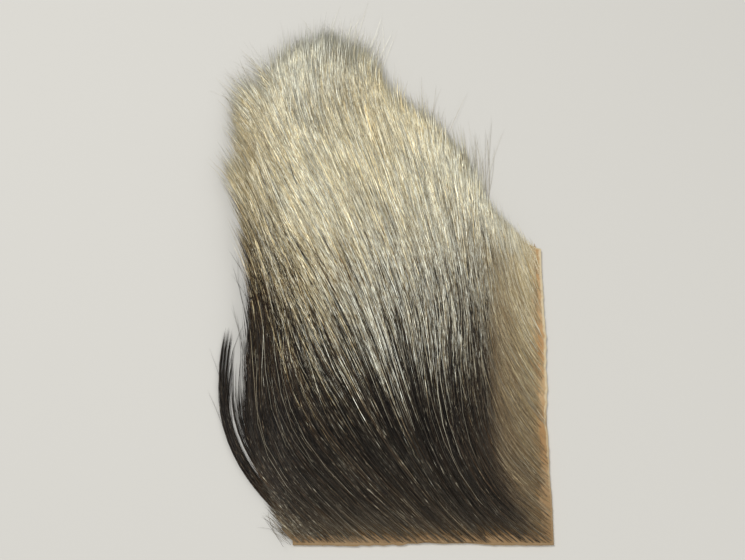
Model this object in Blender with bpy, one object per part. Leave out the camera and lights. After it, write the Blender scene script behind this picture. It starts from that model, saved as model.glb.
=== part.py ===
"""Kid goat skin: a hand-cut piece of tanned kid hide with its hair on, lying flat.

Seen from above with its straight cut edge nearest, the hair leans up and to the left, turns
more upright half way along, and fans out past the far end of the hide. The named sizes are in
millimetres and the meshes in metres. x runs to the right along the near edge, y away from it
and z up. The layout is worked out from the middle of the near edge and then moved, so that
the origin is under the middle of the whole piece.
"""

import bpy
import bmesh
import numpy as np

MM = 0.001
SEED = 15

# The hide, a thin skin with four sides, cut by hand
HIDE_THICKNESS = 1.2
NEAR_EDGE = 60.0
RIGHT_EDGE = 74.5
LEFT_EDGE = 105.0
RIGHT_SPLAY = 3.5  # how far the right edge leans outwards on its way up
LEFT_SPLAY = 1.5
CUT_WAVER = 0.35  # how far the blade wandered from a straight cut
BARE_RIM = 1.6  # width of the bare skin between the cut edge and the first hair
CURL_WIDTH = 1.0  # width of the outermost faces of the hide, inside its bare rim
RIM_LIFT = 0.35  # how far these faces curl up off the table along the right edge
HIDE_STEPS = 28  # spaces along each side of the hide
FLAT_ANGLE = 0.002  # faces of the hide that differ by less than this are one, in radians

# The coat, a lumpy slab of hair over the hide
CLEARANCE = 0.3  # gap between the hide and the hair above it
COMBED_LINES = 88  # lines of hair that the slab's surface follows
STEPS_ALONG = 26
LINE_CROWDING = 1.25  # above 1, the lines stand closer together at the left of the near edge
UNEVEN_REACH = 1.3  # how much one line ends before or past the next
RIM_HEIGHT = 0.9  # thickness of the slab where it ends
THIN_PILE = 0.5  # least thickness of the hair over the skin
EDGE_DROP = 5.0  # over this distance the hair comes down from the hide to the table
TAPER = 13.0  # over this distance the slab thins towards its tips
SIDE_TAPER = 6.0  # and over this distance along the root line, towards its left side
RIDGE = 0.17  # height of the ridges between locks, as a share of the pile
SWELL = 0.085  # height of the broad swells, as a share of the pile
BED_DEPTH = 4.0

# Which way the hair leans, in degrees to the left of straight away, by place
LEAN_X = (-40.0, -15.0, 5.0, 28.0)
LEAN_BY_Y = (
    # y, lean at each x
    (0.0, (50.0, 52.0, 52.0, 48.0)),
    (20.0, (34.0, 38.0, 28.0, 32.0)),
    (45.0, (6.0, 26.0, 8.0, 28.0)),
    (70.0, (25.0, 30.0, 14.0, 20.0)),
    (95.0, (34.0, 28.0, 14.0, 12.0)),
    (120.0, (32.0, 18.0, 16.0, 6.0)),
    (150.0, (20.0, 0.0, -12.0, -12.0)),
)

# How high the pile stands above what it lies on, by place
PILE_X = (-40.0, -22.0, 2.0, 16.0, 28.0)
PILE_BY_Y = (
    # y, height at each x
    (0.0, (0.6, 0.6, 0.6, 0.6, 0.5)),
    (16.0, (2.6, 3.6, 3.4, 2.2, 0.9)),
    (40.0, (5.2, 7.8, 8.0, 5.6, 1.1)),
    (68.0, (6.0, 8.8, 8.8, 7.6, 1.6)),
    (95.0, (6.0, 8.6, 8.0, 6.0, 2.2)),
    (120.0, (5.0, 7.2, 6.4, 4.0, 2.0)),
    (150.0, (3.0, 3.6, 3.6, 2.4, 1.5)),
)

# How far the coat reaches along the hair from each place on the root line, which runs along
# the near edge from left to right and then up the right edge
REACH_BY_ROOT = (
    # place on the root line, reach
    (0.0, 12.0),
    (5.0, 26.0),
    (10.0, 41.0),
    (12.5, 62.0),
    (17.5, 82.0),
    (25.0, 101.0),
    (35.0, 118.0),
    (45.0, 137.0),
    (55.0, 155.0),
    (67.0, 139.0),
    (77.0, 119.0),
    (88.0, 98.0),
    (98.0, 79.0),
    (106.0, 60.0),
    (110.0, 34.0),
    (116.0, 21.0),
    (124.0, 11.0),
)

# Locks at the rim: each starts inside the slab and ends in a point past it
RIM_LOCKS = 134
RAISED_LOCKS = 40
LOCK_ROOT = 7.0
LOCK_WIDTH = 1.5
LOCK_HEIGHT = 1.2
LOCK_TIP = 0.1
LOCK_STEPS = 4
LOCK_FAN = 9.0  # a lock bends this many degrees either way by its tip
RAISED_BY = (1.7, 3.0)  # the raised locks pass this high over the others
TABLE_GAP = (0.05, 0.1)  # the others rest this close to the table, clear of the slab's foot
LOCK_REACH_BY_ROOT = (
    # place on the root line, how far the locks stand out past the slab
    (0.0, 4.0),
    (10.0, 5.0),
    (18.0, 6.0),
    (30.0, 7.0),
    (50.0, 10.0),
    (70.0, 8.0),
    (90.0, 6.0),
    (106.0, 6.0),
    (112.0, 4.0),
    (124.0, 2.0),
)

# The dark lock that stands apart at the lower left, along its middle
SIDE_LOCK = (
    # x, y, width
    (-32.0, 8.2, 3.2),
    (-36.7, 12.4, 3.4),
    (-40.9, 17.2, 3.3),
    (-44.5, 22.8, 3.2),
    (-47.1, 29.0, 3.0),
    (-48.7, 36.0, 2.8),
    (-49.4, 43.0, 2.2),
    (-49.2, 50.0, 1.4),
)
SIDE_STRANDS = (
    # offset across the lock as a share of its width, length past the lock's last point
    (-0.32, 3.0),
    (0.05, 6.0),
    (0.38, 1.0),
)
SIDE_STEPS = 11


def clear_scene():
    """Remove every object that a new file opens with."""
    for item in list(bpy.data.objects):
        bpy.data.objects.remove(item, do_unlink=True)


def new_material(name, colour, roughness):
    """A plain Principled finish."""
    material = bpy.data.materials.new(name)
    material.use_nodes = True
    shader = material.node_tree.nodes["Principled BSDF"]
    shader.inputs["Base Color"].default_value = (*colour, 1.0)
    shader.inputs["Roughness"].default_value = roughness
    shader.inputs["Metallic"].default_value = 0.0
    return material


def new_object(name, points, faces, origin):
    """An object from points in millimetres, measured from the origin given."""
    mesh = bpy.data.meshes.new(name)
    placed = (np.asarray(points, dtype=float) - np.asarray(origin)) * MM
    mesh.from_pydata(placed.tolist(), [], faces)
    mesh.update()
    made = bpy.data.objects.new(name, mesh)
    bpy.context.scene.collection.objects.link(made)
    return made


def sheet_object(name, points, origin):
    """An open sheet of quads through a grid of points."""
    across, along = points.shape[:2]
    index = np.arange(across * along).reshape(across, along)
    corners = (index[:-1, :-1], index[1:, :-1], index[1:, 1:], index[:-1, 1:])
    quads = np.stack(corners, axis=-1).reshape(-1, 4)
    return new_object(name, points.reshape(-1, 3), quads.tolist(), origin)


def thicken_down(item, thickness):
    """Give a sheet its thickness on its lower side."""
    modifier = item.modifiers.new("thickness", "SOLIDIFY")
    modifier.thickness = thickness * MM
    modifier.offset = -1.0


def smooth_step(value):
    """0 below 0, 1 above 1, and a soft curve between."""
    held = np.clip(value, 0.0, 1.0)
    return held * held * (3.0 - 2.0 * held)


def by_place(columns, rows, x, y):
    """Read a table of values by place, blended between its rows and columns."""
    row_y = [row[0] for row in rows]
    values = np.array([row[1] for row in rows])
    along = np.interp(y, row_y, np.arange(len(row_y)))
    across = np.interp(x, columns, np.arange(len(columns)))
    row = np.minimum(along.astype(int), len(row_y) - 2)
    column = np.minimum(across.astype(int), len(columns) - 2)
    up = along - row
    right = across - column
    near = values[row, column] * (1.0 - right) + values[row, column + 1] * right
    far = values[row + 1, column] * (1.0 - right) + values[row + 1, column + 1] * right
    return near * (1.0 - up) + far * up


def by_root(rows, place):
    """Read a table of values along the root line."""
    return np.interp(place, [row[0] for row in rows], [row[1] for row in rows])


def hide_sides():
    """The four cut sides as corner pairs, anticlockwise from the near edge."""
    near_left = np.array([-NEAR_EDGE / 2, 0.0])
    near_right = np.array([NEAR_EDGE / 2, 0.0])
    far_right = np.array([NEAR_EDGE / 2 + RIGHT_SPLAY, RIGHT_EDGE])
    far_left = np.array([-NEAR_EDGE / 2 - LEFT_SPLAY, LEFT_EDGE])
    return (
        (near_left, near_right),
        (near_right, far_right),
        (far_right, far_left),
        (far_left, near_left),
    )


def hide_shares():
    """Where the hide's points lie along a side, with a narrow step at either end."""
    rim = CURL_WIDTH / NEAR_EDGE
    return np.concatenate([[0.0], np.linspace(rim, 1.0 - rim, HIDE_STEPS - 1), [1.0]])


def cut_side(start, end, number):
    """One side of the hide: a straight line that wavers as the blade did."""
    share = hide_shares()[:, None]
    line = start + (end - start) * share
    along = (end - start) / np.linalg.norm(end - start)
    outward = np.array([along[1], -along[0]])
    slow = np.sin(2.0 * np.pi * (1.3 * share + 0.37 * number))
    quick = np.sin(2.0 * np.pi * (5.5 * share + 0.61 * number))
    held = np.sin(np.pi * share)
    return line + outward * CUT_WAVER * held * (slow + 0.35 * quick)


def cut_sides():
    """The four cut sides as lines of points, anticlockwise."""
    return [cut_side(start, end, number) for number, (start, end) in enumerate(hide_sides())]


def hide_plan():
    """The hide's plan as a grid of points, filled in between its four cut sides."""
    near, right, far, left = cut_sides()
    far = far[::-1]
    left = left[::-1]
    u = hide_shares()[:, None, None]
    v = hide_shares()[None, :, None]
    between_sides = left[None, :, :] * (1.0 - u) + right[None, :, :] * u
    between_ends = near[:, None, :] * (1.0 - v) + far[:, None, :] * v
    near_corners = near[0] * (1.0 - u) + near[-1] * u
    far_corners = far[0] * (1.0 - u) + far[-1] * u
    return between_sides + between_ends - near_corners * (1.0 - v) - far_corners * v


def past_side(x, y, start, end):
    """Distance outwards past one straight side of the hide."""
    along = (end - start) / np.linalg.norm(end - start)
    return (x - start[0]) * along[1] - (y - start[1]) * along[0]


def outside_hide(x, y):
    """Distance past the hide's straight outline, negative inside it."""
    return np.max([past_side(x, y, start, end) for start, end in hide_sides()], axis=0)


def rim_lift(y):
    """How far the hide's right rim curls up off the table."""
    wave = 0.5 + 0.5 * np.sin(0.13 * y + 0.8) * np.sin(0.05 * y)
    return RIM_LIFT * wave * smooth_step(y / 20.0)


def make_hide(origin, material):
    """The tanned skin: one thin sheet, flat underneath but for its curling right rim."""
    plan = hide_plan()
    height = np.full(plan.shape[:2], HIDE_THICKNESS)
    height[-1] += rim_lift(plan[-1, :, 1])
    made = sheet_object("hide", np.dstack([plan, height]), origin)
    thicken_down(made, HIDE_THICKNESS)
    flatten = made.modifiers.new("flat faces", "DECIMATE")
    flatten.decimate_type = "DISSOLVE"
    flatten.angle_limit = FLAT_ANGLE
    made.data.materials.append(material)
    return made


def root_line(place):
    """The line where the hair begins, along the near edge and then up the right edge."""
    turn = NEAR_EDGE - 2.0 * BARE_RIM
    left = -NEAR_EDGE / 2 + BARE_RIM
    up = np.maximum(place - turn, 0.0)
    x = left + np.minimum(place, turn) + up * RIGHT_SPLAY / RIGHT_EDGE
    y = BARE_RIM + up
    return x, y


def combed(x, y, distance, steps):
    """Follow the hair from given points over a distance each, in equal steps."""
    step = distance / steps
    line_x = [x]
    line_y = [y]
    for _ in range(steps):
        lean = np.radians(by_place(LEAN_X, LEAN_BY_Y, x, y))
        half_x = x - 0.5 * step * np.sin(lean)
        half_y = y + 0.5 * step * np.cos(lean)
        lean = np.radians(by_place(LEAN_X, LEAN_BY_Y, half_x, half_y))
        x = x - step * np.sin(lean)
        y = y + step * np.cos(lean)
        line_x.append(x)
        line_y.append(y)
    return np.array(line_x), np.array(line_y)


def smooth_noise(rng, shape, cells):
    """Random values that change softly over a grid, from -1 to 1."""
    coarse = rng.uniform(-1.0, 1.0, cells)
    across = np.linspace(0.0, cells[0] - 1.0, shape[0])
    along = np.linspace(0.0, cells[1] - 1.0, shape[1])
    tall = np.array([np.interp(across, np.arange(cells[0]), line) for line in coarse.T]).T
    return np.array([np.interp(along, np.arange(cells[1]), line) for line in tall])


def floor_under(x, y):
    """Height of what the hair lies on: the hide with its clearance, then the table."""
    over_hide = HIDE_THICKNESS + CLEARANCE
    return over_hide * (1.0 - smooth_step((outside_hide(x, y) - 1.0) / EDGE_DROP))


def coat_surface(rng):
    """The top of the hair: a grid of combed lines from the root line to the tips."""
    last_place = REACH_BY_ROOT[-1][0]
    place = last_place * np.linspace(0.0, 1.0, COMBED_LINES) ** LINE_CROWDING
    reach = by_root(REACH_BY_ROOT, place)
    reach = reach + rng.uniform(-UNEVEN_REACH, UNEVEN_REACH, COMBED_LINES)
    x, y = [line.T for line in combed(*root_line(place), reach, STEPS_ALONG)]
    share = np.linspace(0.0, 1.0, STEPS_ALONG + 1)[None, :]
    walked = reach[:, None] * share
    to_tip = reach[:, None] - walked
    lumps = smooth_noise(rng, x.shape, (COMBED_LINES // 2, 6))
    swells = smooth_noise(rng, x.shape, (9, 5))
    pile = by_place(PILE_X, PILE_BY_Y, x, y) * (1.0 + RIDGE * lumps + SWELL * swells)
    towards_tips = smooth_step(to_tip / TAPER)
    towards_left = smooth_step((place[:, None] + 2.0 * walked / TAPER) / SIDE_TAPER)
    height = RIM_HEIGHT + (pile - RIM_HEIGHT) * towards_tips * towards_left
    least = np.where(outside_hide(x, y) < 0.0, THIN_PILE, RIM_HEIGHT)
    z = floor_under(x, y) + np.maximum(height, least)
    return np.stack([x, y, z], axis=-1)


def close_to_table(item):
    """Close a sheet with a wall down from its rim and a flat face on the table."""
    shape = bmesh.new()
    shape.from_mesh(item.data)
    rim = [edge for edge in shape.edges if edge.is_boundary]
    walls = bmesh.ops.extrude_edge_only(shape, edges=rim)["geom"]
    for point in walls:
        if isinstance(point, bmesh.types.BMVert):
            point.co.z = 0.0
    foot = [edge for edge in shape.edges if edge.is_boundary]
    bmesh.ops.contextual_create(shape, geom=foot)
    bmesh.ops.recalc_face_normals(shape, faces=shape.faces)
    shape.to_mesh(item.data)
    shape.free()


def place_by_rim(share):
    """Places on the root line whose combed lines end at given shares of the rim's length."""
    place = np.linspace(0.0, REACH_BY_ROOT[-1][0], 400)
    x, y = combed(*root_line(place), by_root(REACH_BY_ROOT, place), STEPS_ALONG)
    step = np.hypot(np.diff(x[-1]), np.diff(y[-1]))
    walked = np.concatenate([[0.0], np.cumsum(step)])
    return np.interp(share * walked[-1], walked, place)


def lock_rings(x, y, base, width, height):
    """Rings of tapered locks of three sides, flat below: left foot, right foot and crest.

    The arrays have a row for each ring and a column for each lock. The last ring of a lock
    is its point, three times over.
    """
    along_x = np.gradient(x, axis=0)
    along_y = np.gradient(y, axis=0)
    half = width / 2 / np.hypot(along_x, along_y)
    left = (x - along_y * half, y + along_x * half, base)
    right = (x + along_y * half, y - along_x * half, base)
    crest = (x, y, base + height)
    rings = np.stack([np.stack(corner, axis=-1) for corner in (left, right, crest)], axis=2)
    rings[-1] = rings[-1].mean(axis=1, keepdims=True)
    return rings


def rim_locks(rng):
    """Locks along the tips of the slab: most lie on the table, some stand clear of it."""
    count = RIM_LOCKS + RAISED_LOCKS
    even = np.linspace(0.01, 0.99, RIM_LOCKS)
    among = rng.uniform(0.25, 0.9, RAISED_LOCKS)
    place = place_by_rim(np.concatenate([even, among]))
    inner_reach = by_root(REACH_BY_ROOT, place) - LOCK_ROOT
    line_x, line_y = combed(*root_line(place), inner_reach, STEPS_ALONG)
    start_x = line_x[-1]
    start_y = line_y[-1]
    length = LOCK_ROOT + by_root(LOCK_REACH_BY_ROOT, place) * rng.uniform(0.55, 1.25, count)
    spine_x, spine_y = combed(start_x, start_y, length, LOCK_STEPS)
    share = np.linspace(0.0, 1.0, LOCK_STEPS + 1)[:, None]
    turn = np.radians(rng.uniform(-LOCK_FAN, LOCK_FAN, count)) * share
    away_x = spine_x - start_x
    away_y = spine_y - start_y
    x = start_x + away_x * np.cos(turn) - away_y * np.sin(turn)
    y = start_y + away_x * np.sin(turn) + away_y * np.cos(turn)
    taper = (1.0 - share) ** 0.7 * rng.uniform(0.75, 1.15, count)
    raised = np.where(np.arange(count) < RIM_LOCKS, 0.0, rng.uniform(*RAISED_BY, count))
    rest = floor_under(x, y) + rng.uniform(*TABLE_GAP, count)
    base = rest + raised * (1.0 - 0.15 * share)
    width = LOCK_WIDTH * taper + LOCK_TIP
    height = LOCK_HEIGHT * taper + LOCK_TIP
    return lock_rings(x, y, base, width, height)


def side_lock():
    """The strands of the dark lock that stands apart at the lower left."""
    table = np.array(SIDE_LOCK)
    share = np.linspace(0.0, 1.0, SIDE_STEPS + 1)
    rows = np.linspace(0.0, 1.0, len(table))
    middle_x, middle_y, lock_width = [np.interp(share, rows, column) for column in table.T]
    along_x = np.gradient(middle_x)
    along_y = np.gradient(middle_y)
    length = np.hypot(along_x, along_y)
    strands = []
    for rest, (offset, past) in zip(np.linspace(*TABLE_GAP, len(SIDE_STRANDS)), SIDE_STRANDS):
        x = middle_x + offset * lock_width * along_y / length
        y = middle_y - offset * lock_width * along_x / length + past * share**4
        base = rest + floor_under(x, y)
        width = 0.62 * lock_width * (1.0 - 0.55 * share)
        height = 0.8 * lock_width * (1.0 - 0.6 * share)
        columns = [values[:, None] for values in (x, y, base, width, height)]
        strands.append(lock_rings(*columns))
    return np.concatenate(strands, axis=1)


def lock_faces(steps, first):
    """Faces of one lock whose points start at a number: root, sides and pointed end."""
    faces = [[first, first + 2, first + 1]]
    tip = first + 3 * steps
    for corner in range(3):
        after = (corner + 1) % 3
        for step in range(steps - 1):
            low = first + 3 * step
            faces.append([low + corner, low + after, low + 3 + after, low + 3 + corner])
        faces.append([tip - 3 + corner, tip - 3 + after, tip])
    return faces


def make_locks(origin, rng):
    """All the locks as one helper, which the coat takes into itself."""
    points = []
    faces = []
    for rings in (rim_locks(rng), side_lock()):
        steps = len(rings) - 1
        for lock in range(rings.shape[1]):
            faces += lock_faces(steps, len(points))
            points += rings[:steps, lock].reshape(-1, 3).tolist()
            points.append(rings[steps, lock, 0].tolist())
    return new_object("locks", points, faces, origin)


def make_bed(origin):
    """The room that the hide takes up under the hair, as a cutter."""
    outline = np.concatenate([side[:-1] for side in cut_sides()])
    ahead = np.roll(outline, -1, axis=0) - outline
    ahead = ahead / np.linalg.norm(ahead, axis=1)[:, None]
    outward = np.stack([ahead[:, 1], -ahead[:, 0]], axis=1)
    before = np.roll(outward, 1, axis=0)
    sharpness = 1.0 + np.sum(outward * before, axis=1)
    outline = outline + CLEARANCE * (outward + before) / sharpness[:, None]
    top = np.full(len(outline), HIDE_THICKNESS + CLEARANCE)
    points = np.column_stack([outline, top])
    made = new_object("bed", points, [list(range(len(points)))], origin)
    thicken_down(made, BED_DEPTH)
    return made


def add_boolean(target, helper, operation):
    """Join or cut one mesh with a helper, which is then only a guide."""
    helper.hide_render = True
    helper.display_type = "WIRE"
    modifier = target.modifiers.new(helper.name, "BOOLEAN")
    modifier.operation = operation
    modifier.solver = "EXACT"
    modifier.use_self = operation == "UNION"
    modifier.object = helper


def make_coat(origin, material):
    """The hair: a slab with its rim locks, hollowed below for the hide."""
    rng = np.random.default_rng(SEED)
    made = sheet_object("coat", coat_surface(rng), origin)
    close_to_table(made)
    made.data.materials.append(material)
    add_boolean(made, make_locks(origin, rng), "UNION")
    add_boolean(made, make_bed(origin), "DIFFERENCE")
    return made


def middle_of_piece():
    """The point on the table under the middle of the hide and the hair together."""
    rng = np.random.default_rng(SEED)
    shapes = [coat_surface(rng), rim_locks(rng), side_lock()]
    plans = [shape[..., :2].reshape(-1, 2) for shape in shapes]
    everywhere = np.concatenate(plans + [hide_plan().reshape(-1, 2)])
    middle = (everywhere.min(axis=0) + everywhere.max(axis=0)) / 2
    return (*middle, 0.0)


clear_scene()
middle = middle_of_piece()
make_hide(middle, new_material("tanned_skin", (0.50, 0.34, 0.17), 0.65))
make_coat(middle, new_material("kid_hair", (0.42, 0.37, 0.28), 0.8))
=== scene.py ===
import bpy
import numpy as np
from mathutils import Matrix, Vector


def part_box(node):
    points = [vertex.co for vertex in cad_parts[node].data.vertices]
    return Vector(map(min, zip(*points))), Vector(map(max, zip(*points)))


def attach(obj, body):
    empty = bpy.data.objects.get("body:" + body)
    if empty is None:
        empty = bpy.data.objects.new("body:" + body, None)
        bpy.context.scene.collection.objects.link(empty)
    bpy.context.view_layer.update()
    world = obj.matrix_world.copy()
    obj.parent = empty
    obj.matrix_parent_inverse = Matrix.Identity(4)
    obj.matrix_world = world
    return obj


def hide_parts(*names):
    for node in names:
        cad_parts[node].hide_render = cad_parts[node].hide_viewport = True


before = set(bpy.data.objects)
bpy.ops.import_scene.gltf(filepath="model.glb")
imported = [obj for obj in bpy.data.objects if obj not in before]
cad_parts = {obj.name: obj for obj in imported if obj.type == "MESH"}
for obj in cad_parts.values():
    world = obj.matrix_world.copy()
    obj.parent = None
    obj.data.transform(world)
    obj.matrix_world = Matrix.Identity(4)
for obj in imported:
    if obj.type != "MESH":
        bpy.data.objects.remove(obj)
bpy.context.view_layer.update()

# The tanned skin: one thin sheet of kid leather with the hair left on, dried flat and cut out by hand with
# a blade. Its grain side is orange-tan where the hair is thin, and the cut shows the paler inside.
MM = 0.001
SKIN_THICKNESS = 1.2
NEAR_EDGE = 60.0
RIGHT_EDGE = 74.5
LEFT_EDGE = 105.0
RIGHT_SPLAY = 3.5
LEFT_SPLAY = 1.5
CUT_WAVER = 0.35
NICK_DEPTH = 0.16
RIM_LIFT = 0.35
CURL_WIDTH = 1.0
CUT_ROUNDING = 0.3
ROUNDED_WIDTH = 0.5
GRAIN_RIPPLE = 0.04

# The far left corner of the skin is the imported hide's lowest x and highest y. The middle of the near edge
# is found from it.
hide_low, hide_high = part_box("hide")
near_middle = np.array([
    hide_low.x + (NEAR_EDGE / 2 + LEFT_SPLAY) * MM,
    hide_high.y - LEFT_EDGE * MM,
    0.0,
])


def in_place(points):
    """Millimetres from the middle of the near edge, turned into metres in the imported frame."""
    return np.asarray(points) * MM + near_middle


def smooth_step(value):
    """0 below 0, 1 above 1, and 3 t squared less 2 t cubed between."""
    held = np.clip(value, 0.0, 1.0)
    return held * held * (3.0 - 2.0 * held)


def skin_sides():
    """The four straight sides as pairs of corners, anticlockwise from the near edge."""
    near_left = np.array([-NEAR_EDGE / 2, 0.0])
    near_right = np.array([NEAR_EDGE / 2, 0.0])
    far_right = np.array([NEAR_EDGE / 2 + RIGHT_SPLAY, RIGHT_EDGE])
    far_left = np.array([-NEAR_EDGE / 2 - LEFT_SPLAY, LEFT_EDGE])
    return ((near_left, near_right), (near_right, far_right), (far_right, far_left), (far_left, near_left))


def cut_line(side, share):
    """A cut side: the straight line, pushed outwards by a slow wave, a quick one and small nicks of the
    blade, all of which fade out towards its corners as the sine of the share."""
    start, end = skin_sides()[side]
    length = np.linalg.norm(end - start)
    along = (end - start) / length
    outward = np.array([along[1], -along[0]])
    slow = np.sin(2 * np.pi * (1.3 * share + 0.37 * side))
    quick = np.sin(2 * np.pi * (5.5 * share + 0.61 * side))
    nicks = np.sin(length * share * 2.9 + side) * np.sin(length * share * 1.13 + 2.0 * side)
    nicks = nicks + 0.6 * np.sin(length * share * 6.1) * np.sin(length * share * 0.71)
    push = CUT_WAVER * (slow + 0.35 * quick) + NICK_DEPTH * (nicks - 0.5)
    return start + (end - start) * share[:, None] + outward * (np.sin(np.pi * share) * push)[:, None]


def skin_plan(u, v):
    """The skin's plan for shares u across and v away: the blend from the left cut line to the right one, plus
    the blend from the near one to the far one, less the blend of the four corners."""
    near = cut_line(0, u)
    right = cut_line(1, v)
    far = cut_line(2, 1.0 - u)
    left = cut_line(3, 1.0 - v)
    u = u[:, None, None]
    v = v[None, :, None]
    across = left[None] * (1.0 - u) + right[None] * u
    away = near[:, None] * (1.0 - v) + far[:, None] * v
    corners = (near[0] * (1.0 - u) + near[-1] * u) * (1.0 - v) + (far[0] * (1.0 - u) + far[-1] * u) * v
    return across + away - corners


def past_side(x, y, side):
    """Distance outwards past one straight side, measured at right angles to it."""
    start, end = skin_sides()[side]
    along = (end - start) / np.linalg.norm(end - start)
    return (x - start[0]) * along[1] - (y - start[1]) * along[0]


def outside_skin(x, y):
    """Distance past the skin's straight outline, negative inside it."""
    return np.max([past_side(x, y, side) for side in range(4)], axis=0)


def grid_quads(across, along, first=0):
    """Corner numbers of the quads of a grid of points, anticlockwise seen from above."""
    index = first + np.arange(across * along).reshape(across, along)
    corners = (index[:-1, :-1], index[1:, :-1], index[1:, 1:], index[:-1, 1:])
    return np.stack(corners, axis=-1).reshape(-1, 4)


def rim_of(across, along):
    """The numbers of a grid's outermost points, anticlockwise seen from above."""
    index = np.arange(across * along).reshape(across, along)
    return np.concatenate([index[:-1, 0], index[-1, :-1], index[:0:-1, -1], index[0, :0:-1]])


def new_piece(name, points, quads, triangles=None):
    """A mesh object from arrays of points in millimetres, quads and triangles."""
    triangles = np.zeros((0, 3), int) if triangles is None else triangles
    mesh = bpy.data.meshes.new(name)
    mesh.vertices.add(len(points))
    mesh.vertices.foreach_set("co", in_place(points).astype(np.float32).ravel())
    corners = np.concatenate([quads.ravel(), triangles.ravel()])
    sizes = np.concatenate([np.full(len(quads), 4), np.full(len(triangles), 3)])
    mesh.loops.add(len(corners))
    mesh.loops.foreach_set("vertex_index", corners.astype(np.int32))
    mesh.polygons.add(len(sizes))
    mesh.polygons.foreach_set("loop_start", (np.cumsum(sizes) - sizes).astype(np.int32))
    mesh.polygons.foreach_set("use_smooth", np.ones(len(sizes), bool))
    mesh.update(calc_edges=True)
    mesh.validate()
    made = bpy.data.objects.new(name, mesh)
    bpy.context.scene.collection.objects.link(made)
    return made


def closed_sheet(name, top, bottom):
    """A closed sheet from two grids of points with one outline: the top, the bottom turned over, and a strip
    round their rims."""
    across, along = top.shape[:2]
    count = across * along
    rim = rim_of(across, along)
    after = np.roll(rim, -1)
    wall = np.stack([rim + count, after + count, after, rim], axis=-1)
    quads = np.concatenate([grid_quads(across, along), grid_quads(across, along, count)[:, ::-1], wall])
    points = np.concatenate([top.reshape(-1, 3), bottom.reshape(-1, 3)])
    return new_piece(name, points, quads)


def keep_values(piece, name, values):
    """A number for each point, which the piece's material reads by name."""
    kept = piece.data.attributes.new(name, "FLOAT", "POINT")
    kept.data.foreach_set("value", np.asarray(values, np.float32).ravel())


def keep_on_sheet(piece, values):
    """Numbers by name for the points of a closed sheet, the same on its top and its bottom."""
    for name, value in values.items():
        keep_values(piece, name, np.tile(value.ravel(), 2))


def nodes_of(name):
    """A new material with its node tree and its one shader."""
    material = bpy.data.materials.new(name)
    material.use_nodes = True
    tree = material.node_tree
    return material, tree, tree.nodes["Principled BSDF"]


def node(tree, kind, sources=(), **settings):
    """A node with its settings and its inputs, each a number, a colour or another node's output."""
    made = tree.nodes.new(kind)
    for setting, value in settings.items():
        setattr(made, setting, value)
    for socket, source in sources:
        if isinstance(source, bpy.types.NodeSocket):
            tree.links.new(source, made.inputs[socket])
        else:
            made.inputs[socket].default_value = source
    return made


def linear(red, green, blue):
    """A screen colour from 0 to 255 as the light that it stands for."""
    share = np.array([red, green, blue]) / 255.0
    light = np.where(share <= 0.04045, share / 12.92, ((share + 0.055) / 1.055) ** 2.4)
    return (*light.tolist(), 1.0)


def colour_ramp(tree, source, stops):
    """A ramp of colours over a value, from pairs of place and screen colour."""
    made = node(tree, "ShaderNodeValToRGB", [(0, source)])
    ramp = made.color_ramp
    while len(ramp.elements) < len(stops):
        ramp.elements.new(0.5)
    for element, (place, colour) in zip(ramp.elements, stops):
        element.position = place
        element.color = linear(*colour)
    return made.outputs["Color"]


def mixed(tree, share, first, second):
    """Two colours mixed by a share. The mix node has its share at socket 0 and its colours at 6 and 7."""
    made = node(tree, "ShaderNodeMix", [(0, share), (6, first), (7, second)], data_type="RGBA")
    return made.outputs[2]


def number(tree, operation, first, second=0.0, clamp=False):
    """A sum on one or two numbers."""
    made = node(tree, "ShaderNodeMath", [(0, first), (1, second)], operation=operation, use_clamp=clamp)
    return made.outputs[0]


def noise(tree, coordinates, scale, detail=2.0, roughness=0.5):
    """Soft random values over coordinates."""
    sources = [("Vector", coordinates), ("Scale", scale), ("Detail", detail), ("Roughness", roughness)]
    return node(tree, "ShaderNodeTexNoise", sources).outputs["Fac"]


def bump(tree, shader, height, depth):
    """Fine relief on a shader, depth in millimetres."""
    made = node(tree, "ShaderNodeBump", [("Height", height), ("Distance", depth * MM), ("Strength", 1.0)])
    tree.links.new(made.outputs["Normal"], shader.inputs["Normal"])


def attribute(tree, name):
    """A number that is kept on the piece's points."""
    return node(tree, "ShaderNodeAttribute", attribute_name=name).outputs["Fac"]


BARE_SKIN = (160, 129, 88)
# The browner skin where dark hair is rooted is partly the skin's own colour and partly painted shade of the
# hair over it
ROOTED_AND_SHADED_SKIN = (94, 71, 42)
ROOTED_AND_SHADED_SHARE = 0.62
PALER_RIM = (190, 178, 148)
PORE = (112, 78, 46)
PORES_PER_METRE = 1500.0


def darkened_by_roots_and_shade(tree, colour):
    """A colour of the bare skin, mixed with a browner one where dark hair is rooted in it. The browner colour
    is partly painted shade of the hair over the skin.
    """
    share = number(tree, "MULTIPLY", attribute(tree, "dark_roots_and_shade"), ROOTED_AND_SHADED_SHARE)
    return mixed(tree, share, colour, linear(*ROOTED_AND_SHADED_SKIN))


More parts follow.
